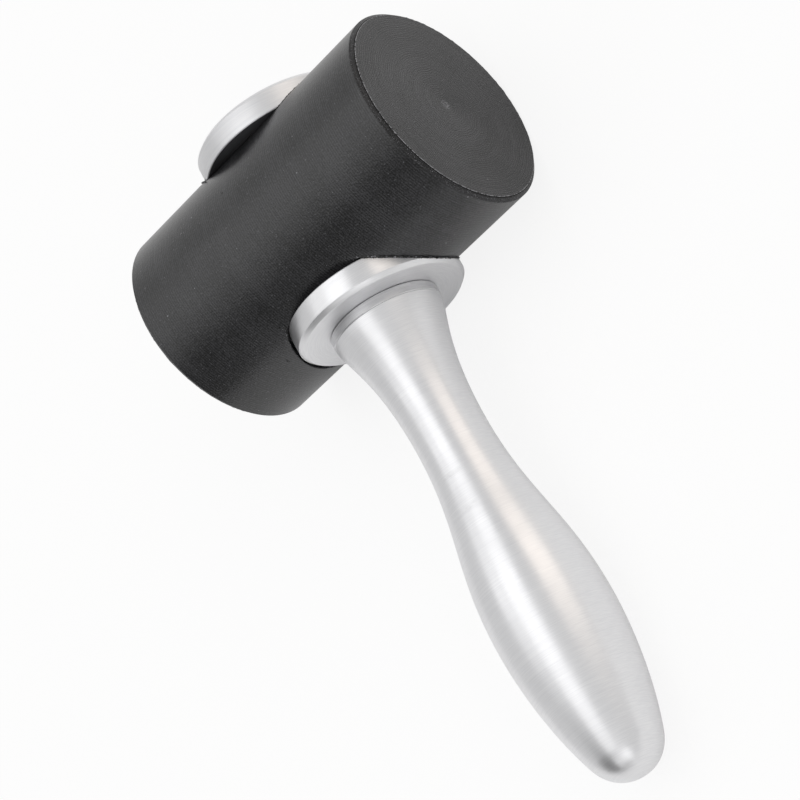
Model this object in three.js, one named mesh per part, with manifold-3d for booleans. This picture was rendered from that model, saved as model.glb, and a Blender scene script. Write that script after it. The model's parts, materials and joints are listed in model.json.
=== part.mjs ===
// Nylon mallet, lying on its side on a bench.
//
// A turned nylon head is clamped between two aluminium discs, the cap and the collar. One long
// countersunk screw runs from the cap through the head and the collar into a turned aluminium handle.
// Units are millimetres, +Z is up, and the origin is on the bench under the middle of the mallet.
// The pieces are made with the head along X and the handle along -Y, and then laid down together.

import * as THREE from 'three';
import { mergeVertices } from 'three/addons/utils/BufferGeometryUtils.js';
import Module from 'manifold-3d';

const wasm = await Module();
wasm.setup();

// Head
const headDiameter = 63;
const headLength = 100;
const headChamfer = 1.2;

// Cap and collar
const discDiameter = 50;
const discThickness = 7.5;
const discFaceChamfer = 1.25; // round the outer face
const discSeatChamfer = 0.3; // round the face that bears on the head
const discStandout = 0.9; // of each disc's outer face, beyond the side of the head
const pocketClearance = 0.65; // between a disc's rim and the wall of its pocket

// Screw
const screwDiameter = 8;
const screwHeadDiameter = 16;
const screwHeadRim = 0.4;
const screwHeadSink = 0.2; // below the outer face of the cap
const screwTipChamfer = 1;
const screwClearance = 0.5; // between the shank and its holes in the cap, head and collar
const threadEngagement = 25;
const socketWidth = 5; // across the flats
const socketDepth = 3;

// Handle
const handleTopDiameter = 32.3;
const topBevel = 0.2;
const topLandHeight = 2.6; // of the straight band above the flare
const waistDiameter = 20.6;
const swellDiameter = 33.9;
const shoulderDiameter = 21.3;
const topToWaist = 39.1;
const waistToSwell = 57.6;
const swellToShoulder = 39;
const buttLength = 7.8; // from the shoulder to the end
const flareLean = THREE.MathUtils.degToRad(12); // of the outline under the straight band
const shoulderLean = THREE.MathUtils.degToRad(19.4); // of the outline, towards the axis
const tapRunout = 4; // of the tapped hole, beyond the tip of the screw
const drillPointAngle = THREE.MathUtils.degToRad(118);

// How far each end of a run of the handle's outline holds its heading, as a share of the run
const flareHold = 0.16;
const waistHoldAbove = 0.61;
const waistHoldBelow = 0.42;
const swellHoldAbove = 0.42;
const swellHoldBelow = 0.34;
const shoulderHoldAbove = 0.3;
const shoulderHoldBelow = 0.52;
const buttFlat = 0.56; // as a share of the shoulder's radius

// Fit and smoothness
const seatGap = 0.3; // between pieces that bear on each other
const roundSegments = 64;
const outlineSteps = 10; // in each run of the handle's outline

// Radii and levels along Y that several pieces share
const headRadius = headDiameter / 2;
const discRadius = discDiameter / 2;
const screwRadius = screwDiameter / 2;
const screwHeadRadius = screwHeadDiameter / 2;
const holeRadius = screwRadius + screwClearance;
const discOuterFace = headRadius + discStandout;
const discInnerFace = discOuterFace - discThickness;
const pocketFloor = discInnerFace - seatGap;
const handleTop = -discOuterFace - seatGap;
const screwTop = discOuterFace - screwHeadSink;
const screwTip = handleTop - threadEngagement;

// A solid turned about the Y axis from [radius, y] points, listed upwards along the outside.
function turned(points) {
  const outline = points.map(([radius, y]) => new THREE.Vector2(radius, y));
  return new THREE.LatheGeometry(outline, roundSegments);
}

// A closed geometry as a manifold solid, ready to be cut.
function solidFrom(geometry) {
  const bare = geometry.clone();
  bare.deleteAttribute('normal');
  bare.deleteAttribute('uv');
  const merged = mergeVertices(bare);
  const mesh = new wasm.Mesh({
    numProp: 3,
    vertProperties: merged.attributes.position.array,
    triVerts: new Uint32Array(merged.index.array),
  });
  return new wasm.Manifold(mesh);
}

// What is left of one closed geometry when another is cut away from it.
function cut(geometry, tool) {
  const { vertProperties, triVerts } = solidFrom(geometry).subtract(solidFrom(tool)).getMesh();
  const result = new THREE.BufferGeometry();
  result.setAttribute('position', new THREE.BufferAttribute(vertProperties, 3));
  result.setIndex(new THREE.BufferAttribute(triVerts, 1));
  result.computeVertexNormals();
  return result;
}

function piece(name, geometry, finish) {
  const mesh = new THREE.Mesh(geometry, new THREE.MeshStandardMaterial(finish));
  mesh.name = name;
  return mesh;
}

const nylon = { color: '#38383a', roughness: 0.55, metalness: 0 };
const satinAluminium = { color: '#cfcfd0', roughness: 0.35, metalness: 1 };
const blackenedSteel = { color: '#4a4b4e', roughness: 0.45, metalness: 1 };

// Nylon rod with chamfered ends. One spool-shaped cut, along the handle's axis, makes the screw
// hole and both pockets, which break out of the round sides of the rod.
function makeHead() {
  const halfLength = headLength / 2;
  const rod = turned([
    [0, -halfLength],
    [headRadius - headChamfer, -halfLength],
    [headRadius, headChamfer - halfLength],
    [headRadius, halfLength - headChamfer],
    [headRadius - headChamfer, halfLength],
    [0, halfLength],
  ]);
  rod.rotateZ(Math.PI / 2);

  const pocketRadius = discRadius + pocketClearance;
  const cutReach = headDiameter;
  const spool = turned([
    [0, -cutReach],
    [pocketRadius, -cutReach],
    [pocketRadius, -pocketFloor],
    [holeRadius, -pocketFloor],
    [holeRadius, pocketFloor],
    [pocketRadius, pocketFloor],
    [pocketRadius, cutReach],
    [0, cutReach],
  ]);
  return piece('nylon_head', cut(rod, spool), nylon);
}

// Disc whose countersink follows the cone of the screw's head, one seat gap away from it.
function makeTopCap() {
  const coneGap = seatGap * Math.SQRT2;
  const sinkRadius = screwHeadRadius + screwHeadRim + screwHeadSink + coneGap;
  const sinkFloor = discOuterFace - (sinkRadius - holeRadius);
  const disc = turned([
    [holeRadius, discInnerFace],
    [discRadius - discSeatChamfer, discInnerFace],
    [discRadius, discInnerFace + discSeatChamfer],
    [discRadius, discOuterFace - discFaceChamfer],
    [discRadius - discFaceChamfer, discOuterFace],
    [sinkRadius, discOuterFace],
    [holeRadius, sinkFloor],
    [holeRadius, discInnerFace],
  ]);
  return piece('top_cap', disc, satinAluminium);
}

function makeCollar() {
  const disc = turned([
    [holeRadius, -discOuterFace],
    [discRadius - discFaceChamfer, -discOuterFace],
    [discRadius, discFaceChamfer - discOuterFace],
    [discRadius, -discInnerFace - discSeatChamfer],
    [discRadius - discSeatChamfer, -discInnerFace],
    [holeRadius, -discInnerFace],
    [holeRadius, -discOuterFace],
  ]);
  return piece('collar', disc, satinAluminium);
}

// The outside of the handle from the butt to the straight band at its top, as [radius, y] points.
// Each knot has a heading, as a lean outwards from +Y, and the lengths over which it is held.
function handleOutline() {
  const shoulderRadius = shoulderDiameter / 2;
  const waistY = handleTop - topToWaist;
  const swellY = waistY - waistToSwell;
  const shoulderY = swellY - swellToShoulder;
  const neckLength = topToWaist - topLandHeight;
  const knots = [
    {
      at: new THREE.Vector2(0, shoulderY - buttLength),
      lean: Math.PI / 2,
      above: buttFlat * shoulderRadius,
    },
    {
      at: new THREE.Vector2(shoulderRadius, shoulderY),
      lean: shoulderLean,
      below: shoulderHoldBelow * buttLength,
      above: shoulderHoldAbove * swellToShoulder,
    },
    {
      at: new THREE.Vector2(swellDiameter / 2, swellY),
      lean: 0,
      below: swellHoldBelow * swellToShoulder,
      above: swellHoldAbove * waistToSwell,
    },
    {
      at: new THREE.Vector2(waistDiameter / 2, waistY),
      lean: 0,
      below: waistHoldBelow * waistToSwell,
      above: waistHoldAbove * neckLength,
    },
    {
      at: new THREE.Vector2(handleTopDiameter / 2, handleTop - topLandHeight),
      lean: flareLean,
      below: flareHold * neckLength,
    },
  ];
  const held = ({ at, lean }, length) =>
    new THREE.Vector2(Math.sin(lean), Math.cos(lean)).multiplyScalar(length).add(at);

  const outline = new THREE.CurvePath();
  knots.slice(1).forEach((end, i) => {
    const start = knots[i];
    outline.add(
      new THREE.CubicBezierCurve(start.at, held(start, start.above), held(end, -end.below), end.at),
    );
  });
  return outline.getPoints(outlineSteps).map(({ x, y }) => [x, y]);
}

// Grip turned from bar, with a blind tapped hole for the screw in its flat top.
function makeHandle(outline) {
  const topRadius = handleTopDiameter / 2;
  const tapRadius = screwRadius + seatGap;
  const tapFloor = screwTip - tapRunout;
  const drillPoint = tapRadius / Math.tan(drillPointAngle / 2);
  const grip = turned([
    ...outline,
    [topRadius, handleTop - topBevel],
    [topRadius - topBevel, handleTop],
    [tapRadius, handleTop],
    [tapRadius, tapFloor],
    [0, tapFloor - drillPoint],
  ]);
  return piece('handle', grip, satinAluminium);
}

// Countersunk screw with a 90 degree head and a hexagon socket.
function makeClampScrew() {
  const coneTop = screwTop - screwHeadRim;
  const coneFoot = coneTop - (screwHeadRadius - screwRadius);
  const blank = turned([
    [0, screwTip],
    [screwRadius - screwTipChamfer, screwTip],
    [screwRadius, screwTip + screwTipChamfer],
    [screwRadius, coneFoot],
    [screwHeadRadius, coneTop],
    [screwHeadRadius, screwTop],
    [0, screwTop],
  ]);

  // The key is centred on the top of the screw, so its lower half makes the socket.
  const keyRadius = socketWidth / 2 / Math.cos(Math.PI / 6);
  const key = new THREE.CylinderGeometry(keyRadius, keyRadius, 2 * socketDepth, 6);
  key.translate(0, screwTop, 0);
  return piece('clamp_screw', cut(blank, key), blackenedSteel);
}

// The tilt about X that lays the side of the head and the swell of the handle on one plane: the
// least turn that brings any point of the handle's outline down to the plane under the head.
function lyingTilt(outline) {
  const turns = outline.map(([radius, y]) => {
    const reach = Math.hypot(radius, y);
    return Math.asin(headRadius / reach) - Math.atan2(radius, -y);
  });
  return Math.min(...turns);
}

const outline = handleOutline();
const mallet = new THREE.Group();
mallet.add(makeHead(), makeTopCap(), makeCollar(), makeHandle(outline), makeClampScrew());
mallet.rotation.x = lyingTilt(outline);

const bounds = new THREE.Box3().setFromObject(mallet, true);
const middle = bounds.getCenter(new THREE.Vector3());
mallet.position.set(-middle.x, -middle.y, -bounds.min.z);

const part = new THREE.Group();
part.add(mallet);

export default part;
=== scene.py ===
"""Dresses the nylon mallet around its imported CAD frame.

The mallet lies on its side. A turned nylon head is clamped between an aluminium cap and collar by one
long screw, which runs into a turned aluminium handle. Each CAD node is replaced by a finer piece in the
same place. Sizes are in millimetres, and MM turns them into Blender's metres.
"""

import json
import logging
import math
import random
from abc import ABC, abstractmethod
from collections.abc import Callable, Iterator
from contextlib import contextmanager
from dataclasses import dataclass, field
from enum import Enum
from typing import Any, ClassVar

import bmesh
import bpy
from mathutils import Matrix, Vector

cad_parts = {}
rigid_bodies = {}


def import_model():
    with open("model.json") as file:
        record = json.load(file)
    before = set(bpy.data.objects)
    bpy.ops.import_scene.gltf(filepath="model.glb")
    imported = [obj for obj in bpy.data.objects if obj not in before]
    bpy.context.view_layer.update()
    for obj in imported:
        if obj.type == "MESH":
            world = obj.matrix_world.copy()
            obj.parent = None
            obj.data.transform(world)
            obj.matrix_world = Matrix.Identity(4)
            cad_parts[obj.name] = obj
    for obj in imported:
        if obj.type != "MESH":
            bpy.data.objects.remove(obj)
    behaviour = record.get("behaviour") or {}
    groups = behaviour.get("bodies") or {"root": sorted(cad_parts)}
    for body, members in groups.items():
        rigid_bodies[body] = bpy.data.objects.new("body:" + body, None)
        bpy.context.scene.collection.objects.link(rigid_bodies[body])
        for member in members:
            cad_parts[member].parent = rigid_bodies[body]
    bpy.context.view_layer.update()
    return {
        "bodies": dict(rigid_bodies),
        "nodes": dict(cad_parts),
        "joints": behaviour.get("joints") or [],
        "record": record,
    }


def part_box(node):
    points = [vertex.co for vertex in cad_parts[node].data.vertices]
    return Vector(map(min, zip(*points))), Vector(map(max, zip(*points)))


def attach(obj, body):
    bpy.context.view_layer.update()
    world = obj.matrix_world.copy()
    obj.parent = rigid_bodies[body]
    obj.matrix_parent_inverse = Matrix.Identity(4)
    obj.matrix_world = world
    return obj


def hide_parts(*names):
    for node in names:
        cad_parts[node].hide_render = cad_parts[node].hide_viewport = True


Node = bpy.types.Node
Tree = bpy.types.NodeTree
Piece = bpy.types.Object
Face = bpy.types.MeshPolygon
Point = tuple[float, float, float]
Inputs = dict[str | int, Any] | tuple[Any, ...]

MM = 0.001
CLOSE = 0.01  # the millimetres by which a place may be off
SAME = 0.001  # the millimetres within which two places are one
ROUND_STEPS = 192
HEAD_STEPS = 256
SMOOTH_ANGLE = math.radians(28)  # steeper edges are shaded sharp
ROUNDED_ANGLE = math.radians(30)  # steeper edges are rounded
LEANING = 0.3  # a face's normal along the axis, where the face starts to slope
FACING = 0.9  # and where it is square to the axis
NOISE_SPAN = (0.3, 0.7)  # where most of a noise texture lies
NOISE_MIDDLE = (0.35, 0.65)
TURNING_MAP = "turning"

# Pieces are modelled along Z, and these take them to the mallet's own axes
AXIS = Vector((0, 0, 1))
ALONG_HANDLE = Vector((0, 1, 0))
TO_CAP = Matrix.Rotation(-math.pi / 2, 4, "X")
TO_HANDLE = Matrix.Rotation(math.pi / 2, 4, "X")
TO_STRIKE_FACE = Matrix.Rotation(math.pi / 2, 4, "Y")

log = logging.getLogger("mallet")


# Nodes and colours


def linear(colour: str) -> tuple[float, float, float, float]:
    """Turns an sRGB colour into the linear one that shaders use.

    Args:
        colour: a hex value such as "#1b1b1c".

    Returns:
        Red, green, blue and an alpha of 1.
    """
    levels = (int(colour[i : i + 2], 16) / 255 for i in (1, 3, 5))
    red, green, blue = (v / 12.92 if v <= 0.04045 else ((v + 0.055) / 1.055) ** 2.4 for v in levels)
    return red, green, blue, 1.0


def feed(tree: Tree, node: Node, inputs: Inputs) -> None:
    """Sets the inputs of a node, or links them.

    Args:
        tree: the node's tree.
        node: the node.
        inputs: what feeds its inputs, by name or number, or in order from the first: a value, a socket,
            or a node whose first output is taken.
    """
    for key, value in inputs.items() if isinstance(inputs, dict) else enumerate(inputs):
        source = value.outputs[0] if isinstance(value, Node) else value
        if isinstance(source, bpy.types.NodeSocket):
            tree.links.new(source, node.inputs[key])
        else:
            node.inputs[key].default_value = source


def add_node(tree: Tree, kind: str, inputs: Inputs = (), **settings: Any) -> Node:
    """Adds a node with its settings, values and links.

    Args:
        tree: the node tree that gets it.
        kind: the node's type without "ShaderNode", such as "Bump".
        inputs: what feeds its inputs, as in feed.
        **settings: the node's own properties.

    Returns:
        The new node.
    """
    node = tree.nodes.new("ShaderNode" + kind)
    for name, value in settings.items():
        setattr(node, name, value)
    feed(tree, node, inputs)
    return node


# Where the mallet lies


@dataclass(frozen=True)
class Placement:
    """Where the mallet lies: the middle of its head, in metres, and its tilt about X."""

    centre: Vector
    tilt: float

    @classmethod
    def from_frame(cls, frame: dict[str, Any]) -> "Placement":
        """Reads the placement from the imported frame.


        Returns:
            The head's middle, and the tilt of the handle's axis as the cap's mount gives it.
        """
        low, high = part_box("nylon_head")
        cap = next(mount for mount in frame["record"]["mounts"] if mount["name"] == "cap_face")
        return cls((low + high) / 2, math.atan2(cap["axis"][2], cap["axis"][1]))

    @property
    def matrix(self) -> Matrix:
        """Takes the mallet's own axes, head along X and cap towards +Y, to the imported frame."""
        return Matrix.Translation(self.centre) @ Matrix.Rotation(self.tilt, 4, "X")

    def millimetres(self, tree: Tree) -> Node:
        """Gives a material its place on the mallet's own axes, in millimetres.

        Args:
            tree: the material's node tree.

        Returns:
            The node that gives the place.
        """
        inputs = {
            "Vector": add_node(tree, "TexCoord").outputs["Object"],
            "Location": self.centre,
            "Rotation": (self.tilt, 0, 0),
            "Scale": (MM, MM, MM),
        }
        return add_node(tree, "Mapping", inputs, vector_type="TEXTURE")


# Shaping by hand


class Element(Enum):
    """What is chosen in edit mode, and what a mesh calls the list of them."""

    VERT = "verts"
    EDGE = "edges"
    FACE = "faces"


def pick(piece: Piece) -> None:
    """Selects one piece and nothing else.

    Args:
        piece: the piece.
    """
    bpy.ops.object.select_all(action="DESELECT")
    piece.select_set(True)
    bpy.context.view_layer.objects.active = piece


@contextmanager
def editing(piece: Piece, element: Element = Element.FACE) -> Iterator[None]:
    """Opens a piece in edit mode with nothing selected, and closes it again.

    Args:
        piece: the piece to shape.
        element: what is selected there.

    Yields:
        Nothing, while the piece is open.
    """
    pick(piece)
    bpy.ops.object.mode_set(mode="EDIT")
    bpy.ops.mesh.select_mode(type=element.name)
    bpy.ops.mesh.select_all(action="DESELECT")
    yield
    bpy.ops.object.mode_set(mode="OBJECT")


def choose(piece: Piece, element: Element, test: Callable[[Any], bool]) -> None:
    """Selects, in edit mode, just the points, edges or faces that pass a test.

    Args:
        piece: the piece in edit mode.
        element: what is selected.
        test: tells which are.
    """
    bpy.ops.mesh.select_all(action="DESELECT")
    for item in getattr(bmesh.from_edit_mesh(piece.data), element.value):
        if test(item):
            item.select_set(True)
    bmesh.update_edit_mesh(piece.data)


def at_level(*levels: float) -> Callable[[Any], bool]:
    """Gives a test for faces and edges that lie flat at one of some levels along Z, in millimetres."""
    return lambda item: any(all(abs(v.co.z / MM - level) < SAME for v in item.verts) for level in levels)


def cylinder(radius: float, depth: float, steps: int = ROUND_STEPS, **settings: Any) -> Piece:
    """Adds a cylinder to start a piece from, and selects only that.

    Args:
        radius: its radius in millimetres.
        depth: its length in millimetres.
        steps: how many sides it has.
        **settings: the operator's other settings.

    Returns:
        The cylinder.
    """
    bpy.ops.object.select_all(action="DESELECT")
    bpy.ops.mesh.primitive_cylinder_add(vertices=steps, radius=radius * MM, depth=depth * MM, **settings)
    return bpy.context.object


def draw_out(drop: float, scale: float) -> None:
    """Extrudes the selected faces down Z, in millimetres, and scales their far end."""
    bpy.ops.mesh.extrude_region_move(TRANSFORM_OT_translate={"value": (0, 0, -drop * MM)})
    bpy.ops.transform.resize(value=(scale, scale, 1))


def slice_across(levels: list[float]) -> None:
    """Cuts the mesh in edit mode into sections along Z.

    Args:
        levels: where, in millimetres.
    """
    for level in levels:
        bpy.ops.mesh.select_all(action="SELECT")
        bpy.ops.mesh.bisect(plane_co=(0, 0, level * MM), plane_no=AXIS)


def apply_modifier(piece: Piece, kind: str, **settings: Any) -> None:
    """Adds a modifier to a piece and applies it.

    Args:
        piece: the piece to change.
        kind: the modifier's type, such as "BEVEL".
        **settings: the modifier's own properties.
    """
    pick(piece)
    modifier = piece.modifiers.new(kind.lower(), kind)
    for name, value in settings.items():
        setattr(modifier, name, value)
    bpy.ops.object.modifier_apply(modifier=modifier.name)


def machine(piece: Piece, tool: Piece, operation: str = "DIFFERENCE") -> None:
    """Cuts a piece with another by a Boolean operation, and throws that tool away."""
    apply_modifier(piece, "BOOLEAN", operation=operation, solver="EXACT", object=tool)
    bpy.data.objects.remove(tool)


def round_edges(piece: Piece, width: float) -> None:
    """Rounds a piece's sharp edges to a width in millimetres."""
    sharp = {"limit_method": "ANGLE", "angle_limit": ROUNDED_ANGLE}
    apply_modifier(piece, "BEVEL", width=width * MM, segments=2, **sharp)


def close_up(piece: Piece) -> None:
    """Merges a piece's doubled points and turns its faces outwards.

    Args:
        piece: the piece.
    """
    with editing(piece):
        bpy.ops.mesh.select_all(action="SELECT")
        bpy.ops.mesh.remove_doubles(threshold=SAME * MM)
        bpy.ops.mesh.normals_make_consistent(inside=False)


def lay_turning_map(piece: Piece, axis_of: Callable[[Face], Vector]) -> None:
    """Maps faces as a lathe cuts them: u along the profile in millimetres, v once round the axis.

    Args:
        piece: the piece, while its axes still run through the origin.
        axis_of: tells the direction of the axis that a face was turned about.
    """
    mesh = piece.data
    layer = mesh.uv_layers.new(name=TURNING_MAP)
    for face in mesh.polygons:
        axis = axis_of(face)
        side = axis.orthogonal().normalized()
        front = axis.cross(side)
        bearing = math.atan2(face.center.dot(front), face.center.dot(side))
        faced = abs(face.normal.dot(axis)) > math.cos(math.radians(45))
        for loop in face.loop_indices:
            point = mesh.vertices[mesh.loops[loop].vertex_index].co
            across, along = point.dot(side), point.dot(front)
            radius = math.hypot(across, along)
            turn = math.atan2(along, across) - bearing if radius > CLOSE * MM else 0.0
            turn = (turn + math.pi) % math.tau - math.pi
            reach = radius if faced else point.dot(axis)
            layer.data[loop].uv = reach / MM, (bearing + turn) / math.tau


# Finishes


def turning_lines(tree: Tree, place: Node, pitch: float, length: float, evenness: float = 0.0) -> Node:
    """Draws the marks that a lathe leaves: close along the profile and long round the axis.

    Args:
        tree: the material's node tree.
        place: gives the place on the mallet in millimetres.
        pitch: how far apart the marks are, in millimetres.
        length: how long a scratch is, in millimetres.
        evenness: from 0, random scratches, to 1, the even lines of a tool's feed.

    Returns:
        A node that gives about 0.2 to 0.8.
    """
    turning = add_node(tree, "UVMap", uv_map=TURNING_MAP)
    along = add_node(tree, "VectorMath", (turning, (1 / pitch, 0, 0)), operation="MULTIPLY")
    drawn_out = add_node(tree, "VectorMath", (place, (1 / length,) * 3, along), operation="MULTIPLY_ADD")
    noise = {"Vector": drawn_out, "Scale": 1.0, "Detail": 2.0, "Roughness": 0.6}
    scratches = add_node(tree, "TexNoise", noise)
    reach = add_node(tree, "SeparateXYZ", (along,)).outputs["X"]
    angle = add_node(tree, "Math", (reach, math.tau), operation="MULTIPLY")
    wave = add_node(tree, "Math", (angle,), operation="SINE")
    even = add_node(tree, "Math", (wave, 0.25, 0.5), operation="MULTIPLY_ADD")
    return add_node(tree, "Mix", {0: evenness, 2: scratches, 3: even}, data_type="FLOAT")


def flecks(tree: Tree, place: Node, spacing: Point, share: float) -> Node:
    """Scatters small flecks through the material, of which the surface cuts a few.

    Args:
        tree: the material's node tree.
        place: gives the place on the mallet in millimetres.
        spacing: how far apart flecks are along each axis, in millimetres. They are drawn out likewise.
        share: a fleck's radius as a share of that spacing.

    Returns:
        A node that gives 1 on a fleck and 0 elsewhere.
    """
    scaled = add_node(tree, "VectorMath", (place, spacing), operation="DIVIDE")
    cells = add_node(tree, "TexVoronoi", {"Vector": scaled, "Scale": 1.0})
    return add_node(tree, "MapRange", (cells, share, share / 2, 0.0, 1.0))


class Finish(ABC):
    """The finish of one kind of surface, made from patterns on the mallet's own axes."""

    stuff: ClassVar[str]
    surface: Enum
    roughness: float
    roughness_spread: float

    @abstractmethod
    def look(self, tree: Tree, place: Node) -> dict[str, Any]:
        """Gives a value, socket or node for each of the shader's inputs that the finish sets."""

    def material(self, placement: Placement) -> bpy.types.Material:
        """Makes the material.

        Args:
            placement: where the mallet lies.

        Returns:
            The material, which reads the turning map.
        """
        material = bpy.data.materials.new(f"{self.stuff}_{self.surface.value}")
        material.use_nodes = True
        tree = material.node_tree
        feed(tree, tree.nodes["Principled BSDF"], self.look(tree, placement.millimetres(tree)))
        return material

    def uneven(self, tree: Tree, noise: Node, span: tuple[float, float] = NOISE_SPAN) -> Node:
        """Spreads the roughness over a span of some noise."""
        low, high = self.roughness - self.roughness_spread, self.roughness + self.roughness_spread
        return add_node(tree, "MapRange", (noise, *span, low, high))


class NylonCut(Enum):
    """How a surface of the head was machined, and where the lip's shadow is painted."""

    TURNED_SIDE = "turned_side"
    FACED_END = "faced_end"
    ROUGH_EDGE = "rough_edge"
    RAGGED_LIP = "ragged_lip"
    # A narrow band of the chamfer under each lip, painted near black with a low IOR as the lip's shadow.
    UNDERCUT = "undercut"
    BORED_POCKET = "bored_pocket"
    SHRED = "shred"


@dataclass(frozen=True)
class BlackNylon(Finish):
    """Black cast nylon, machined and left as cut."""

    stuff = "black_nylon"
    surface: NylonCut
    colour: str = "#0b0b0c"
    dusty: str = "#303032"
    pale: str = "#7c7c80"
    roughness: float = 0.3
    roughness_spread: float = 0.015
    anisotropy: float = 0.1
    ior: float = 1.6
    line_pitch: float = 0.75  # the real lines are about half as wide, too fine to show
    line_length: float = 25.0
    line_evenness: float = 0.6
    line_depth: float = 0.04
    line_fading: float = 0.7  # the share of their depth that lines keep where they are faintest
    grain_size: float = 0.5  # drawn coarser than the real grain, which would not show
    grain_depth: float = 0.06
    patch_size: float = 16.0
    dust_span: tuple[float, float] = (0.76, 1.16)  # of the texture's height, over which dust gathers
    speck_spacing: float = 2.2
    speck_share: float = 0.055
    knock_spacing: Point = (9.0, 7.0, 8.0)
    knock_share: float = 0.035
    bruise: float = 0.0  # the share of the surface that is bruised white
    bruise_edge: float = 0.1
    scuff_radius: float = 0.0  # of a bruised spot round the centre of an end
    scuff_core: float = 0.8  # the radius within which the spot is palest
    scuff_strength: float = 0.85

    def look(self, tree: Tree, place: Node) -> dict[str, Any]:
        """Gives what feeds the shader, as every finish does.

        Args:
            tree: the material's node tree.
            place: gives the place on the mallet in millimetres.

        Returns:
            A value, socket or node for each of the shader's inputs that is set.
        """
        # Nylon is close to black, and shows mostly through its satin gloss. The tool's feed leaves fine
        # lines round it, the cut is slightly grainy, and knocks leave pale specks, as bruises turn white.
        patches = add_node(tree, "TexNoise", {"Vector": place, "Scale": 1 / self.patch_size, "Detail": 2.0})
        grain = add_node(tree, "TexNoise", {"Vector": place, "Scale": 1 / self.grain_size, "Detail": 1.0})
        lines = turning_lines(tree, place, self.line_pitch, self.line_length, self.line_evenness)
        strength = add_node(tree, "MapRange", (patches, *NOISE_MIDDLE, self.line_fading, 1.0))
        lines = add_node(tree, "Math", (lines, strength), operation="MULTIPLY")
        relief = {"Strength": 1.0, "Distance": self.line_depth * MM, "Height": lines}
        ridges = add_node(tree, "Bump", relief)
        relief = {"Strength": 1.0, "Distance": self.grain_depth * MM, "Height": grain, "Normal": ridges}
        texture = add_node(tree, "Math", (grain, lines), operation="ADD")
        dust = add_node(tree, "MapRange", (texture, *self.dust_span))
        ground = {0: dust, 6: linear(self.colour), 7: linear(self.dusty)}
        ground = add_node(tree, "Mix", ground, data_type="RGBA").outputs[2]
        marked = {0: self.marks(tree, place, grain, dust), 6: ground, 7: linear(self.pale)}
        return {
            "Base Color": add_node(tree, "Mix", marked, data_type="RGBA").outputs[2],
            "Roughness": self.uneven(tree, patches),
            "Normal": add_node(tree, "Bump", relief),
            "Tangent": add_node(tree, "Tangent", direction_type="UV_MAP", uv_map=TURNING_MAP),
            "IOR": self.ior,
            "Anisotropic": self.anisotropy,
        }

    def marks(self, tree: Tree, place: Node, grain: Node, dust: Node) -> Node:
        """Draws the pale specks, knocks and bruises, and the scuff at the centre of an end.

        Args:
            tree: the material's node tree.
            place: gives the place on the mallet in millimetres.
            grain: gives the grain of the surface.
            dust: gives how dusty the surface is.

        Returns:
            A node that gives 1 on a mark and 0 elsewhere.
        """
        # Hardly any grain is above 0.75, and most of it is above 0.25
        bruise_start = 0.75 - 0.5 * self.bruise
        layers = [
            flecks(tree, place, self.knock_spacing, self.knock_share),
            add_node(tree, "MapRange", (grain, bruise_start, bruise_start + self.bruise_edge)),
        ]
        if self.scuff_radius:
            turning = add_node(tree, "UVMap", uv_map=TURNING_MAP)
            reach = add_node(tree, "SeparateXYZ", (turning,)).outputs["X"]
            scuff = (reach, self.scuff_radius, self.scuff_core, 0.0, self.scuff_strength)
            scuff = add_node(tree, "MapRange", scuff)
            layers.append(add_node(tree, "Math", (scuff, dust), operation="MULTIPLY"))
        marks = flecks(tree, place, (self.speck_spacing,) * 3, self.speck_share)
        for layer in layers:
            marks = add_node(tree, "Math", (marks, layer), operation="MAXIMUM")
        return marks


class AluminiumCut(Enum):
    """How a surface of the cap, the collar or the handle was finished, and where shade is painted on."""

    SANDED_GRIP = "sanded_grip"
    COARSE_LAND = "coarse_land"
    TURNED_RIM = "turned_rim"
    TURNED_FACE = "turned_face"
    TURNED_CHAMFER = "turned_chamfer"
    # The seat face under each disc is painted dark grey: painted shade for the shadow under the disc's
    # overhang.
    SAWN_SEAT = "sawn_seat"


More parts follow.
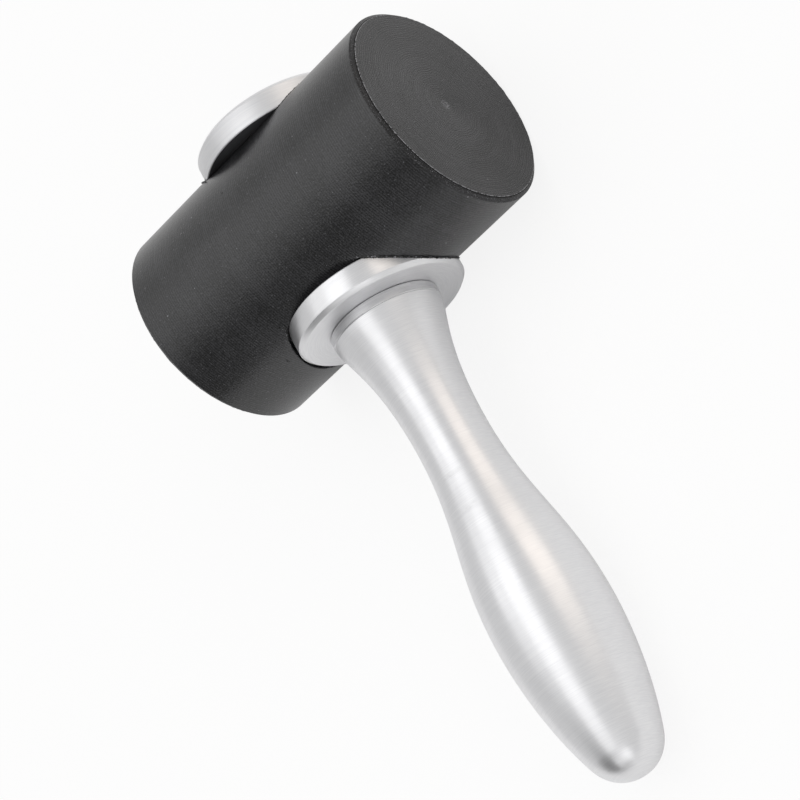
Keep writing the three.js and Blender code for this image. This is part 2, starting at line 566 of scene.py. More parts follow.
@dataclass(frozen=True)
class SatinAluminium(Finish):
    """Bare aluminium bar, turned and then rubbed down in the lathe."""

    stuff = "satin_aluminium"
    surface: AluminiumCut
    colour: str = "#e9e9ea"
    shaded: str = "#dfdfe1"
    roughness: float = 0.38
    roughness_spread: float = 0.05
    anisotropy: float = 0.5
    line_pitch: float = 0.17  # the real scratches are far finer and would not show
    line_length: float = 3.5
    line_depth: float = 0.004
    patch_size: float = 14.0
    rubs: tuple[float, ...] = ()  # the levels of ragged marks that a clamp left on one side of the grip
    rub_width: float = 0.45
    rub_bearing: float = -0.36  # of the marks' middle, in turns
    rub_reach: float = 0.05  # to each side of that, in turns
    rub_wander: float = 5.0
    rub_depth: float = 17.0  # as a multiple of the scratches' depth

    def look(self, tree: Tree, place: Node) -> dict[str, Any]:
        """Gives what feeds the shader, as every finish does.

        Args:
            tree: the material's node tree.
            place: gives the place on the mallet in millimetres.

        Returns:
            A value, socket or node for each of the shader's inputs that is set.
        """
        # Fine scratches run round the metal, so reflections are drawn out along the handle into stripes.
        lines = turning_lines(tree, place, self.line_pitch, self.line_length)
        patches = add_node(tree, "TexNoise", {"Vector": place, "Scale": 1 / self.patch_size, "Detail": 3.0})
        streaks = add_node(tree, "MapRange", (lines, *NOISE_SPAN))
        streaks = {0: streaks, 6: linear(self.shaded), 7: linear(self.colour)}
        height = self.rub(tree, patches, lines) if self.rubs else lines
        relief = {"Strength": 1.0, "Distance": self.line_depth * MM, "Height": height}
        return {
            "Base Color": add_node(tree, "Mix", streaks, data_type="RGBA").outputs[2],
            "Roughness": self.uneven(tree, patches),
            "Normal": add_node(tree, "Bump", relief),
            "Tangent": add_node(tree, "Tangent", direction_type="UV_MAP", uv_map=TURNING_MAP),
            "Metallic": 1.0,
            "Anisotropic": self.anisotropy,
        }

    def rub(self, tree: Tree, patches: Node, height: Node) -> Node:
        """Presses the ragged marks into the scratched surface, deep beside its scratches.

        Args:
            tree: the material's node tree.
            patches: gives broad noise that makes the marks wander.
            height: gives the height of the scratches.

        Returns:
            A node that gives the height with the marks.
        """
        turning = add_node(tree, "UVMap", uv_map=TURNING_MAP)
        reach = add_node(tree, "SeparateXYZ", (turning,)).outputs
        wandering = add_node(tree, "Math", (patches, self.rub_wander, reach["X"]), operation="MULTIPLY_ADD")
        clamped = add_node(tree, "Math", (reach["Y"], self.rub_bearing, self.rub_reach), operation="COMPARE")
        for level in self.rubs:
            near = (wandering, level + self.rub_wander / 2, self.rub_width)
            near = add_node(tree, "Math", near, operation="COMPARE")
            mark = add_node(tree, "Math", (near, clamped), operation="MULTIPLY")
            broken = add_node(tree, "Math", (mark, height), operation="MULTIPLY")
            height = add_node(tree, "Math", (broken, -self.rub_depth, height), operation="MULTIPLY_ADD")
        return height


class SteelSkin(Enum):
    """What covers a surface of the screw."""

    BLACK_OXIDE = "black_oxide"
    WORN_EDGE = "worn_edge"


@dataclass(frozen=True)
class BlackenedSteel(Finish):
    """Hardened screw steel with a black oxide skin."""

    stuff = "screw_steel"
    surface: SteelSkin
    colour: str = "#3a3b3d"
    roughness: float = 0.42
    roughness_spread: float = 0.12
    cloud_size: float = 1.5

    def look(self, tree: Tree, place: Node) -> dict[str, Any]:
        """Gives what feeds the shader, as every finish does.

        Args:
            tree: the material's node tree.
            place: gives the place on the mallet in millimetres.

        Returns:
            A value, socket or node for each of the shader's inputs that is set.
        """
        # The skin is dark and slightly oily, so its gloss is cloudy, and it is worn bright on its edges.
        cloud = add_node(tree, "TexNoise", {"Vector": place, "Scale": 1 / self.cloud_size, "Detail": 4.0})
        rough = self.uneven(tree, cloud, (0.0, 1.0))
        return {"Base Color": linear(self.colour), "Metallic": 1.0, "Roughness": rough}


# Pieces


@dataclass
class SubAssembly(ABC):
    """A piece of the mallet, which is built about the origin, dressed and laid in its place."""

    name: ClassVar[str]
    node: ClassVar[str | None]  # the CAD node that it stands for
    slot: ClassVar[str]
    turn: ClassVar[Matrix]  # takes the axes it is modelled on to the mallet's own
    placement: Placement

    @abstractmethod
    def build(self) -> Piece:
        """Models the piece."""

    @abstractmethod
    def finishes(self) -> list[Finish]:
        """Lists the finishes, each for one kind of surface."""

    @abstractmethod
    def surface(self, face: Face) -> Enum:
        """Tells what kind of surface a face is."""

    def axis(self, face: Face) -> Vector:
        """Tells the axis that a face was turned about."""
        return AXIS

    def dress(self, piece: Piece) -> None:
        """Maps the piece and gives each face its finish.

        Args:
            piece: the piece, on the axes it was modelled on.
        """
        lay_turning_map(piece, self.axis)
        piece.data.materials.clear()
        numbers = {}
        for number, finish in enumerate(self.finishes()):
            piece.data.materials.append(finish.material(self.placement))
            numbers[finish.surface] = number
        for face in piece.data.polygons:
            face.material_index = numbers[self.surface(face)]

    def settle(self, piece: Piece) -> None:
        """Lays the finished piece in its place on the mallet.

        Args:
            piece: the piece, about the origin.
        """
        pick(piece)
        piece.name = self.name
        piece.data.name = self.name
        piece.matrix_world = self.placement.matrix @ self.turn
        bpy.ops.object.transform_apply(location=True, rotation=True, scale=True)
        bpy.ops.object.shade_smooth_by_angle(angle=SMOOTH_ANGLE)
        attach(piece, "root")
        if self.node:
            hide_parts(self.node)
        faces = len(piece.data.polygons)
        log.info("%s stands for %s, with %d faces", self.name, self.node or "no node", faces)

    def make(self) -> None:
        """Builds, dresses and settles the piece."""
        piece = self.build()
        self.dress(piece)
        self.settle(piece)


@dataclass
class Head(SubAssembly):
    """Nylon rod with chamfered ends, bored for the screw and pocketed for both discs."""

    name = "turned_head"
    node = "nylon_head"
    slot = "nylon_black"
    turn = TO_STRIKE_FACE
    radius: float = 31.5
    length: float = 100.0
    chamfer: float = 1.2
    pocket_radius: float = 25.5
    pocket_shift: float = -0.5  # off the handle's axis, away from the strike face in view
    pocket_floor: float = 24.6  # from the head's axis
    bore_radius: float = 4.5
    lip_width: float = 0.09
    lip_height: float = 0.12
    lip_crest: float = 0.6  # the share of its width, to each side, that is raised
    lip_outwards: float = 0.8  # how much of its raggedness is outwards
    lip_seed: int = 7
    undercut: float = 0.22  # of the chamfer just under the lip, painted near black as the lip's shadow
    flat_ring: float = 0.25  # of the end face just inside the lip
    centre_mark: float = 0.9  # radius of the dimple that the lathe's centre left
    centre_depth: float = 0.12
    centre_taper: float = 0.2
    sections: int = 20
    pits: tuple[Point, ...] = ((-28.7, 13.5, -7.1),)  # small chips out of the side
    pit_radius: float = 0.4
    end_facing: float = 0.75  # a face's normal along the axis, where it counts as the end
    side_facing: float = 0.99  # a face's normal outwards, where it counts as the side
    side_depth: float = 0.1

    def build(self) -> Piece:
        """Models the rod along Z, with the handle's axis along Y.

        Returns:
            The rod with its pockets.
        """
        half = self.length / 2
        rod = cylinder(self.radius, self.length, HEAD_STEPS)
        with editing(rod, Element.EDGE):
            for width, segments in ((self.chamfer, 1), (self.lip_width, 2)):
                choose(rod, Element.EDGE, at_level(half, -half))
                bpy.ops.mesh.bevel(offset=width * MM, segments=segments, affect="EDGES")
        self.raise_lips(rod)
        flat = self.radius - self.chamfer - self.lip_width - self.flat_ring
        shade = half - self.lip_width - self.undercut
        sliced = self.length - 4 * self.chamfer
        with editing(rod):
            for end in (half, -half):
                choose(rod, Element.FACE, at_level(end))
                bpy.ops.mesh.inset(thickness=self.flat_ring * MM)
                bpy.ops.mesh.inset(thickness=(flat - self.centre_mark) * MM)
                draw_out(math.copysign(self.centre_depth, end), self.centre_taper)
            levels = [(step / self.sections - 0.5) * sliced for step in range(1, self.sections)]
            slice_across([*levels, shade, -shade])
        for cutter in self.cutters():
            machine(rod, cutter)
        close_up(rod)
        return rod

    def raise_lips(self, rod: Piece) -> None:
        """Raises a ragged lip of swarf between each end face and its chamfer.

        Args:
            rod: the rod with its bevels.
        """

        def on_crest(vert: bmesh.types.BMVert) -> bool:
            """Tells whether a point is on the lip's crest.

            Args:
                vert: the point.

            Returns:
                True on the crest.
            """
            off_rim = (self.radius - self.chamfer) * MM - math.hypot(vert.co.x, vert.co.y)
            off_face = self.length / 2 * MM - abs(vert.co.z)
            return off_face > CLOSE * MM and abs(off_rim) < self.lip_crest * self.lip_width * MM

        ragged = {"offset": self.lip_height * MM, "normal": self.lip_outwards, "seed": self.lip_seed}
        with editing(rod, Element.VERT):
            choose(rod, Element.VERT, on_crest)
            bpy.ops.transform.vertex_random(uniform=0.0, **ragged)

    def cutters(self) -> list[Piece]:
        """Makes what is cut from the rod: the screw's bore, the two pockets and the pits.

        Returns:
            Three cylinders along Y, and a ball for each pit.
        """
        reach = 2 * self.radius
        depth = reach - self.pocket_floor
        middle = (reach + self.pocket_floor) / 2
        made = []
        for radius, long, place, shift in (
            (self.bore_radius, 2 * reach, 0.0, 0.0),
            (self.pocket_radius, depth, middle, self.pocket_shift),
            (self.pocket_radius, depth, -middle, self.pocket_shift),
        ):
            location = (0, place * MM, shift * MM)
            made.append(cylinder(radius, long, location=location, rotation=(math.pi / 2, 0, 0)))
        for pit in self.pits:
            place = Vector(pit) * MM
            bpy.ops.mesh.primitive_ico_sphere_add(subdivisions=3, radius=self.pit_radius * MM, location=place)
            made.append(bpy.context.object)
        return made

    def surface(self, face: Face) -> NylonCut:
        """Tells how a face of the rod was machined.

        Args:
            face: the face.

        Returns:
            The kind of cut.
        """
        outward = Vector((face.center.x, face.center.y, 0))
        radius = outward.length / MM
        depth = self.length / 2 - abs(face.center.z) / MM
        slope = abs(face.normal.z)
        if abs(radius - self.radius + self.chamfer) < self.lip_width and slope > LEANING:
            return NylonCut.RAGGED_LIP
        if depth < self.centre_depth + CLOSE and slope > self.end_facing:
            return NylonCut.FACED_END
        if depth < self.chamfer and slope > LEANING:
            # The band just under the lip gets the painted shadow.
            return NylonCut.UNDERCUT if depth < self.lip_width + self.undercut else NylonCut.ROUGH_EDGE
        on_side = face.normal.dot(outward.normalized()) > self.side_facing
        if on_side and radius > self.radius - self.side_depth:
            return NylonCut.TURNED_SIDE
        return NylonCut.BORED_POCKET

    def axis(self, face: Face) -> Vector:
        """Tells the axis that a face was turned about."""
        return ALONG_HANDLE if self.surface(face) is NylonCut.BORED_POCKET else AXIS

    def finishes(self) -> list[Finish]:
        """Lists the finishes, each for one kind of cut.

        Returns:
            The finishes.
        """
        faced = {"dusty": "#39393b", "ior": 1.45, "line_pitch": 0.62, "line_evenness": 0.55}
        faced |= {"line_depth": 0.16, "grain_size": 0.4, "grain_depth": 0.12, "scuff_radius": 2.0}
        rough = {"colour": "#0a0a0b", "dusty": "#3a3a3c", "roughness": 0.45, "ior": 1.38, "bruise": 0.18}
        rough |= {"line_pitch": 0.4, "line_evenness": 0.3, "line_depth": 0.12, "grain_size": 0.3}
        return [
            BlackNylon(NylonCut.TURNED_SIDE),
            BlackNylon(NylonCut.FACED_END, **faced),
            BlackNylon(NylonCut.ROUGH_EDGE, **rough),
            BlackNylon(NylonCut.RAGGED_LIP, pale="#97979b", roughness=0.55, bruise=0.68),
            # Painted shadow: near black, dull and with a low IOR, for the shade under the lip.
            BlackNylon(NylonCut.UNDERCUT, colour="#060606", dusty="#0c0c0c", roughness=0.6, ior=1.3),
            BlackNylon(NylonCut.BORED_POCKET, roughness=0.45),
        ]


@dataclass
class Swarf(SubAssembly):
    """The torn burr and curled shreds of nylon that the boring tool left along the pockets' rims."""

    name = "swarf_shreds"
    node = None
    slot = "nylon_black"
    turn = Matrix()
    head: Head
    length: float = 1.5
    thickness: float = 0.2
    curl: float = math.radians(130)
    tip: float = 0.35  # the share of its thickness that a shred's end keeps
    tear: float = 0.2  # how ragged it is, as a share of its thickness
    sides: int = 6
    sections: int = 7
    stretch: tuple[float, float] = (0.5, 1.1)  # the least and most of its length
    collar_bearings: tuple[float, ...] = (4, 13, 24, 31, 44, 52, 58, 66, 128, 152)  # from the strike face
    cap_bearings: tuple[float, ...] = (128, 139, 147, 305, 318)
    stray: tuple[Point, ...] = ((-17.4, -24.0, 20.4), (-26.1, -28.7, 12.9))
    burr_thickness: float = 0.16
    burr_height: float = 0.25
    burr_lean: float = math.radians(0.4)  # the burr stands higher where the tool left the nylon
    burr_root: float = 0.1
    burr_tear: float = 0.22
    burr_spare: float = 1.0  # of the tube beyond the side of the head, before it is trimmed
    burr_steps: int = 360
    seed: int = 11

    def burr(self, side: int) -> Piece:
        """Raises the torn burr along one pocket: a thin tube, trimmed to a low strip and torn.

        Args:
            side: 1 for the cap's pocket, -1 for the collar's.

        Returns:
            The burr, on the mallet's own axes.
        """
        head = self.head
        height = head.radius + self.burr_spare - head.pocket_floor
        burr = cylinder(
            head.pocket_radius + self.burr_thickness,
            height,
            self.burr_steps,
            end_fill_type="NOTHING",
            location=(head.pocket_shift * MM, side * (head.pocket_floor + height / 2) * MM, 0),
            rotation=(math.pi / 2, 0, 0),
        )
        bpy.ops.object.transform_apply(location=True, rotation=True)
        apply_modifier(burr, "SOLIDIFY", thickness=self.burr_thickness * MM, offset=-1.0)
        for operation, radius, lean in (
            ("INTERSECT", head.radius + self.burr_height, -self.burr_lean),
            ("DIFFERENCE", head.radius - self.burr_root, 0.0),
        ):
            turn = (0, math.pi / 2, lean)
            machine(burr, cylinder(radius, 3 * head.pocket_radius, HEAD_STEPS, rotation=turn), operation)
        close_up(burr)
        with editing(burr, Element.VERT):
            choose(burr, Element.VERT, lambda vert: math.hypot(vert.co.y, vert.co.z) > head.radius * MM)
            bpy.ops.transform.vertex_random(offset=self.burr_tear * MM, uniform=0.0, seed=self.seed)
        return burr

    def shred(self) -> Piece:
        """Models one shred about the origin: a thin bar, tapered, curled and torn.

        Returns:
            The shred.
        """
        shred = cylinder(self.thickness / 2, self.length, self.sides)
        with editing(shred):
            slice_across([(step / self.sections - 0.5) * self.length for step in range(1, self.sections)])
            for end in (0.5, -0.5):
                choose(shred, Element.FACE, at_level(end * self.length))
                bpy.ops.transform.resize(value=(self.tip, self.tip, 1))
            bpy.ops.mesh.select_all(action="SELECT")
            bpy.ops.transform.vertex_random(offset=self.tear * self.thickness * MM, seed=self.seed)
        apply_modifier(shred, "SIMPLE_DEFORM", deform_method="BEND", deform_axis="X", angle=self.curl)
        return shred

    def sites(self) -> list[Vector]:
        """Finds where the shreds cling.

        Returns:
            The places in millimetres, on the mallet's own axes.
        """
        found = [Vector(place) for place in self.stray]
        for side, bearings in ((-1, self.collar_bearings), (1, self.cap_bearings)):
            for bearing in map(math.radians, bearings):
                x = self.head.pocket_radius * math.cos(bearing) + self.head.pocket_shift
                z = self.head.pocket_radius * math.sin(bearing)
                found.append(Vector((x, side * math.sqrt(self.head.radius**2 - z**2), z)))
        return found

    def build(self) -> Piece:
        """Lays a copy of the shred at each site, turned and sized by chance, and joins them to the burrs.

        Returns:
            The swarf, on the mallet's own axes.
        """
        chance = random.Random(self.seed)
        shred = self.shred()
        copies = []
        for site in self.sites():
            copy = shred.copy()
            copy.data = shred.data.copy()
            bpy.context.collection.objects.link(copy)
            swing = Matrix.Rotation(chance.uniform(0, math.tau), 4, "Y")
            roll = Matrix.Rotation(chance.uniform(0, math.tau), 4, "X")
            size = Matrix.Diagonal((1, 1, chance.uniform(*self.stretch), 1))
            copy.matrix_world = Matrix.Translation(site * MM) @ (swing @ roll) @ size
            copies.append(copy)
        bpy.data.objects.remove(shred)
        copies += [self.burr(1), self.burr(-1)]
        pick(copies[0])
        for copy in copies:
            copy.select_set(True)
        bpy.ops.object.transform_apply(location=True, rotation=True, scale=True)
        bpy.ops.object.join()
        return bpy.context.object

    def surface(self, face: Face) -> NylonCut:
        """Tells that every face is torn nylon."""
        return NylonCut.SHRED

    def axis(self, face: Face) -> Vector:
        """Tells the axis that the pockets were bored about."""
        return ALONG_HANDLE

    def finishes(self) -> list[Finish]:
        """Lists the one finish."""
        torn = {"pale": "#97979b", "roughness": 0.55, "grain_depth": 0.02, "bruise": 0.3}
        return [BlackNylon(NylonCut.SHRED, **torn)]


@dataclass
class ClampDisc(SubAssembly):
    """Aluminium disc with a broad chamfer round its outer face, sunk in a pocket of the head."""

    slot = "aluminium_satin"
    radius: float = 25.0
    thickness: float = 7.5
    face_chamfer: float = 1.25
    seat_chamfer: float = 0.3
    edge_round: float = 0.16
    outer_face: float = 32.4  # from the head's axis
    bore_radius: float = 4.5
    mouth_radius: float = 4.5  # of the countersink, or of the bore where there is none
    roughness: float = 0.3
    face_coarser: float = 0.05  # how much rougher the outer face is

    def build(self) -> Piece:
        """Models the chamfered disc along Z, with its outer face up, and bores it.

        Returns:
            The disc.
        """
        inner_face = self.outer_face - self.thickness
        middle = (self.outer_face + inner_face) / 2
        disc = cylinder(self.radius, self.thickness, location=(0, 0, middle * MM))
        bpy.ops.object.transform_apply(location=True)
        with editing(disc, Element.EDGE):
            for level, width in ((self.outer_face, self.face_chamfer), (inner_face, self.seat_chamfer)):
                choose(disc, Element.EDGE, at_level(level))
                bpy.ops.mesh.bevel(offset=width * MM, segments=1, affect="EDGES")
        sink = self.mouth_radius - self.bore_radius
        with editing(disc):
            choose(disc, Element.FACE, at_level(inner_face))
            bpy.ops.mesh.inset(thickness=(self.radius - self.seat_chamfer - self.bore_radius) * MM)
            choose(disc, Element.FACE, at_level(self.outer_face))
            bpy.ops.mesh.inset(thickness=(self.radius - self.face_chamfer - self.mouth_radius) * MM)
            if sink:
                draw_out(sink, self.bore_radius / self.mouth_radius)
            at_end = at_level(self.outer_face - sink, inner_face)
            choose(disc, Element.FACE, lambda face: len(face.verts) > 4 and at_end(face))
            bpy.ops.mesh.bridge_edge_loops()
        close_up(disc)
        round_edges(disc, self.edge_round)
        return disc

    def surface(self, face: Face) -> AluminiumCut:
        """Tells how a face of the disc was machined, or that it is the seat, which is painted with shade.

        Args:
            face: the face.

        Returns:
            The kind of cut.
        """
        # The seat faces down into the head and gets the painted shade.
        if face.normal.z < -FACING:
            return AluminiumCut.SAWN_SEAT
        if face.normal.z < LEANING:
            return AluminiumCut.TURNED_RIM
        return AluminiumCut.TURNED_CHAMFER if face.normal.z < FACING else AluminiumCut.TURNED_FACE

    def finishes(self) -> list[Finish]:
        """Lists the finishes, each for one kind of cut.

        Returns:
            The finishes.
        """
        return [
            SatinAluminium(AluminiumCut.TURNED_RIM, roughness=self.roughness, anisotropy=0.65),
            SatinAluminium(AluminiumCut.TURNED_CHAMFER, roughness=0.4, anisotropy=0.3),
            SatinAluminium(AluminiumCut.TURNED_FACE, roughness=self.roughness + self.face_coarser),
            # Painted shade: the seat's dark grey stands in for the shadow under the overhanging disc.
            SatinAluminium(AluminiumCut.SAWN_SEAT, colour="#737376", shaded="#626265", roughness=0.6),
        ]


@dataclass
class Cap(ClampDisc):
    """The disc on top of the head, countersunk for the screw."""

    name = "cap_disc"
    node = "top_cap"
    turn = TO_CAP
    mouth_radius: float = 9.025
    roughness: float = 0.5


@dataclass
class Collar(ClampDisc):
    """The disc between the head and the handle."""

    name = "collar_disc"
    node = "collar"
    turn = TO_HANDLE
    roughness: float = 0.33


@dataclass(frozen=True)
class Knot:
    """A point of a turned outline: where it is, its lean outwards, and how far it holds that lean."""

    radius: float
    level: float
    lean: float = 0.0
    below: float = 0.0
    above: float = 0.0

    def held(self, length: float) -> Vector:
        """Gives the point that is reached by holding the lean.

        Args:
            length: how far it is held, in millimetres.

        Returns:
            The point, in metres.
        """
        radius = self.radius + length * math.sin(self.lean)
        level = self.level + length * math.cos(self.lean)
        return Vector((radius, 0, level)) * MM


@dataclass
class Handle(SubAssembly):
    """Contoured grip turned from bar, with a straight land at its top and a blind tapped hole."""

    name = "grip"
    node = "handle"
    slot = "aluminium_satin"
    turn = TO_CAP
    top: float = -32.5  # the level of its top, from the head's axis, just clear of the collar
    top_radius: float = 16.15
    top_bevel: float = 0.14
    land_height: float = 2.8
    groove_width: float = 0.45
    groove_depth: float = 0.15
    waist_radius: float = 10.3
    swell_radius: float = 16.95
    shoulder_radius: float = 10.65
    top_to_waist: float = 39.3
    waist_to_swell: float = 57.6
    swell_to_shoulder: float = 39.0
    butt_length: float = 7.8
    flare_lean: float = math.radians(12)
    shoulder_lean: float = math.radians(19.4)
    flare_hold: float = 0.16  # as a share of the run, as the other holds are
    waist_hold_above: float = 0.61
    waist_hold_below: float = 0.42
    swell_hold_above: float = 0.42
    swell_hold_below: float = 0.34
    shoulder_hold_above: float = 0.3
    shoulder_hold_below: float = 0.52
    butt_flat: float = 0.56  # as a share of the shoulder's radius
    tap_radius: float = 4.3
    tap_depth: float = 29.2
    drill_point: float = 2.6
    curve_steps: int = 28  # in each run of the outline
    rubs: tuple[float, ...] = (-84.0, -94.6)  # the levels of a clamp's marks

    def knots(self) -> list[Knot]:
        """Lists the outline from the butt up the outside and down the tapped hole.

        Returns:
            The knots in order.
        """
        waist = self.top - self.top_to_waist
        swell = waist - self.waist_to_swell
        shoulder = swell - self.swell_to_shoulder
        foot = self.top - self.land_height
        neck = self.top_to_waist - self.land_height
        tap_floor = self.top - self.tap_depth
        radius = self.top_radius
        return [
            Knot(0, shoulder - self.butt_length, math.pi / 2, above=self.butt_flat * self.shoulder_radius),
            Knot(
                self.shoulder_radius,
                shoulder,
                self.shoulder_lean,
                below=self.shoulder_hold_below * self.butt_length,
                above=self.shoulder_hold_above * self.swell_to_shoulder,
            ),
            Knot(
                self.swell_radius,
                swell,
                below=self.swell_hold_below * self.swell_to_shoulder,
                above=self.swell_hold_above * self.waist_to_swell,
            ),
            Knot(
                self.waist_radius,
                waist,
                below=self.waist_hold_below * self.waist_to_swell,
                above=self.waist_hold_above * neck,
            ),
            Knot(radius, foot - self.groove_width / 2, self.flare_lean, below=self.flare_hold * neck),
            Knot(radius - self.groove_depth, foot),
            Knot(radius, foot + self.groove_width / 2),
            Knot(radius, self.top - self.top_bevel),
            Knot(radius - self.top_bevel, self.top),
            Knot(self.tap_radius, self.top),
            Knot(self.tap_radius, tap_floor),
            Knot(0, tap_floor - self.drill_point),
        ]

    def build(self) -> Piece:
        """Draws the outline as a curve, and spins it into the handle.

        Returns:
            The handle along Z.
        """
        bpy.ops.object.select_all(action="DESELECT")
        bpy.ops.curve.primitive_bezier_curve_add()
        outline = bpy.context.object
        outline.data.resolution_u = self.curve_steps
        spline = outline.data.splines[0]
        knots = self.knots()
        spline.bezier_points.add(len(knots) - len(spline.bezier_points))
        for point, knot in zip(spline.bezier_points, knots):
            point.handle_left_type = "FREE" if knot.below else "VECTOR"
            point.handle_right_type = "FREE" if knot.above else "VECTOR"
            point.co = knot.held(0)
            if knot.below:
                point.handle_left = knot.held(-knot.below)
            if knot.above:
                point.handle_right = knot.held(knot.above)
        bpy.ops.object.convert(target="MESH")
        handle = bpy.context.object
        with editing(handle, Element.VERT):
            bpy.ops.mesh.select_all(action="SELECT")
            bpy.ops.mesh.spin(steps=ROUND_STEPS, angle=math.tau, center=(0, 0, 0), axis=AXIS)
        close_up(handle)
        return handle

    def surface(self, face: Face) -> AluminiumCut:
        """Tells the coarse land, with its groove, from the sanded grip."""
        on_land = face.center.z / MM > self.top - self.land_height - self.groove_width
        return AluminiumCut.COARSE_LAND if on_land else AluminiumCut.SANDED_GRIP

    def finishes(self) -> list[Finish]:
        """Lists the finishes of the grip and of its land.

        Returns:
            The finishes.
        """
        return [
            SatinAluminium(AluminiumCut.SANDED_GRIP, roughness=0.36, rubs=self.rubs),
            SatinAluminium(AluminiumCut.COARSE_LAND, colour="#dadadb", shaded="#c9c9cb", roughness=0.36),
        ]


@dataclass
class ClampScrew(SubAssembly):
    """Countersunk socket screw, of which only the head shows."""

    name = "socket_screw"
    node = "clamp_screw"
    slot = "steel_black"
    turn = TO_CAP
    radius: float = 4.0
    head_radius: float = 8.0
    head_rim: float = 0.4
    top: float = 32.2  # from the head's axis
    tip: float = -57.7
    tip_chamfer: float = 1.0
    socket_width: float = 5.0
    socket_depth: float = 3.0
    edge_round: float = 0.1
    steps: int = 96
    worn_slopes: tuple[float, float] = (0.2, 0.95)  # between which a normal along the axis is worn

    def build(self) -> Piece:
        """Models the screw along Z by drawing its head down into the shank, and cuts the socket.

        Returns:
            The screw.
        """
        level = self.top - self.head_rim
        middle = (0, 0, (self.top - self.head_rim / 2) * MM)
        screw = cylinder(self.head_radius, self.head_rim, self.steps, location=middle)
        bpy.ops.object.transform_apply(location=True)
        cone = self.head_radius - self.radius
        with editing(screw):
            choose(screw, Element.FACE, at_level(level))
            draw_out(cone, self.radius / self.head_radius)
            draw_out(level - cone - self.tip - self.tip_chamfer, 1.0)
            draw_out(self.tip_chamfer, 1 - self.tip_chamfer / self.radius)
        corner = self.socket_width / 2 / math.cos(math.pi / 6)
        machine(screw, cylinder(corner, 2 * self.socket_depth, 6, location=(0, 0, self.top * MM)))
        close_up(screw)
        round_edges(screw, self.edge_round)
        return screw

    def surface(self, face: Face) -> SteelSkin:
        """Tells the worn edges, which slope, from the rest."""
        low, high = self.worn_slopes
        return SteelSkin.WORN_EDGE if low < face.normal.z < high else SteelSkin.BLACK_OXIDE

    def finishes(self) -> list[Finish]:
        """Lists the finishes of the skin and of its worn edges."""
        worn = BlackenedSteel(SteelSkin.WORN_EDGE, colour="#85868a", roughness=0.35)
        return [BlackenedSteel(SteelSkin.BLACK_OXIDE), worn]


# Studio


@dataclass(frozen=True)
class SoftBox:
    """A soft box that hangs in a direction from the mallet, its long side along the handle."""

    name: str
    towards: Point
    distance: float  # in metres, as its width and length are
    width: float
    length: float
    brightness: float  # where 1 is as bright as white paper in plain light
    colour: str = "#ffffff"

    def hang(self, target: Vector) -> None:
        """Adds the lamp.

        Args:
            target: the point it faces.
        """
        away = Vector(self.towards).normalized()
        across = ALONG_HANDLE.cross(away).normalized()
        along = away.cross(across)
        bpy.ops.object.light_add(type="AREA")
        lamp = bpy.context.object
        lamp.name = self.name
        lamp.data.shape = "RECTANGLE"
        lamp.data.size = self.width
        lamp.data.size_y = self.length
        lamp.data.energy = self.brightness * math.pi * self.width * self.length
        lamp.data.color = linear(self.colour)[:3]
        turn = Matrix((across, along, away)).transposed().to_4x4()
        lamp.matrix_world = Matrix.Translation(target + away * self.distance) @ turn


@dataclass(frozen=True)
class Camera:
    """The photograph's viewpoint: the point aimed at, and where the camera stands around it."""

    aim: Point = (-8.95, 16.6, 25.7)
    distance: float = 842.9
    bearing: float = math.radians(-38.484)
    height: float = math.radians(46.694)
    roll: float = math.radians(85.047)
    lens: float = 141.61
    sensor: float = 36.0
    nearest: float = 50.0

    def place(self) -> None:
        """Adds the camera and makes it the scene's."""
        out = math.cos(self.height)
        back = Vector((out * math.cos(self.bearing), out * math.sin(self.bearing), math.sin(self.height)))
        level_right = AXIS.cross(back).normalized()
        level_up = back.cross(level_right)
        up = level_up * math.cos(self.roll) + level_right * math.sin(self.roll)
        right = up.cross(back)
        bpy.ops.object.camera_add()
        camera = bpy.context.object
        camera.data.lens = self.lens
        camera.data.sensor_width = self.sensor
        camera.data.clip_start = self.nearest * MM
        turn = Matrix((right, up, back)).transposed().to_4x4()
        camera.matrix_world = Matrix.Translation((Vector(self.aim) + back * self.distance) * MM) @ turn
        bpy.context.scene.camera = camera


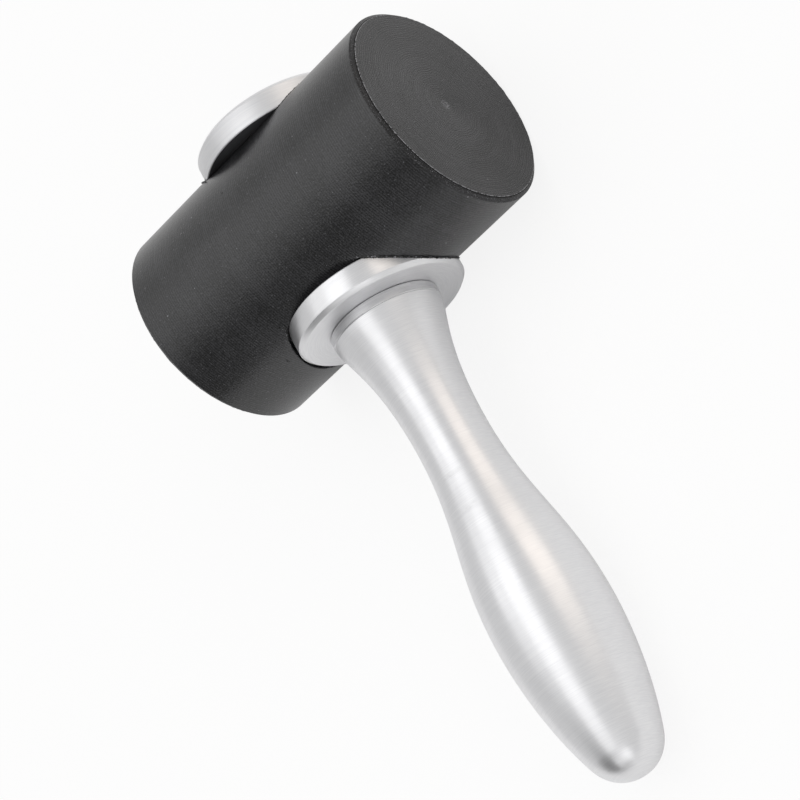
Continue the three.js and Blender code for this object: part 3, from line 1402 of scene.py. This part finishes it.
@dataclass
class Studio:
    """A pale floor, four soft boxes, a sky with one dark corner, and the camera."""

    floor_size: float = 12.0  # in metres
    floor_colour: str = "#fbfbfb"
    white_seen: float = 0.86  # the share of plain white in the floor that the camera sees
    white_mirrored: float = 0.15  # and in the floor that the metal mirrors
    sky: float = 0.72
    dark_sky: float = 0.17
    dark_corner: Point = (-0.45, -0.82, 0.32)
    dark_edge: tuple[float, float] = (0.72, 0.92)  # cosines off that corner, between which the sky darkens
    boxes: tuple[SoftBox, ...] = (
        SoftBox("key_box", (-0.045, 0.05, 1.15), 1.2, 0.74, 1.95, 0.72),
        SoftBox("wing_box", (-0.53, 0.24, 0.83), 1.3, 0.45, 0.95, 0.5),
        SoftBox("warm_box", (0.839, 0.402, 0.367), 1.2, 0.8, 1.0, 0.69, "#fff0e0"),
        SoftBox("front_box", (0.02, -0.88, 0.38), 1.2, 0.95, 0.5, 0.95),
    )
    camera: Camera = field(default_factory=Camera)

    def lay_floor(self) -> None:
        """Adds the floor, which the camera and reflections see as white, shaded by the mallet."""
        bpy.ops.object.select_all(action="DESELECT")
        bpy.ops.mesh.primitive_plane_add(size=self.floor_size)
        floor = bpy.context.object
        floor.name = "floor"
        material = bpy.data.materials.new("pale_floor")
        material.use_nodes = True
        tree = material.node_tree
        tree.nodes.clear()
        ray = add_node(tree, "LightPath").outputs
        share = 0.0
        for kind, white in (
            ("Is Camera Ray", self.white_seen),
            ("Is Glossy Ray", self.white_mirrored),
            ("Is Transmission Ray", self.white_seen),
        ):
            share = add_node(tree, "Math", (ray[kind], white, share), operation="MULTIPLY_ADD")
        paint = add_node(tree, "BsdfDiffuse", {"Color": linear(self.floor_colour)})
        glow = add_node(tree, "Emission", {"Strength": 1.0})
        both = add_node(tree, "MixShader", (share, paint, glow))
        add_node(tree, "OutputMaterial", {"Surface": both})
        floor.data.materials.append(material)

    def light(self, target: Vector) -> None:
        """Hangs the soft boxes and sets the sky, which the camera sees as white.

        Args:
            target: the point that the boxes face.
        """
        for box in self.boxes:
            box.hang(target)
        world = bpy.data.worlds.new("studio_sky")
        bpy.context.scene.world = world
        world.use_nodes = True
        tree = world.node_tree
        direction = add_node(tree, "TexCoord").outputs["Generated"]
        corner = Vector(self.dark_corner).normalized()
        nearness = add_node(tree, "VectorMath", (direction, corner), operation="DOT_PRODUCT").outputs["Value"]
        strength = (nearness, *self.dark_edge, self.sky, self.dark_sky)
        strength = add_node(tree, "MapRange", strength, interpolation_type="SMOOTHSTEP")
        ray = add_node(tree, "LightPath").outputs
        seen = add_node(tree, "Math", (ray["Is Camera Ray"], strength), operation="MAXIMUM")
        feed(tree, tree.nodes["Background"], {"Color": linear("#ffffff"), "Strength": seen})

    def set_up(self, target: Vector) -> None:
        """Builds the studio.

        Args:
            target: the point that the soft boxes face.
        """
        self.lay_floor()
        self.light(target)
        self.camera.place()
        bpy.context.scene.view_settings.view_transform = "Standard"


def main() -> None:
    """Loads the frame, builds and dresses the mallet, and sets up the studio."""
    logging.basicConfig(level=logging.INFO, format="%(name)s: %(message)s")
    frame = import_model()
    placement = Placement.from_frame(frame)
    head = Head(placement)
    head.make()
    Swarf(placement, head).make()
    for kind in (Cap, Collar, Handle, ClampScrew):
        kind(placement).make()
    Studio().set_up(placement.centre)


if __name__ == "__main__":
    main()
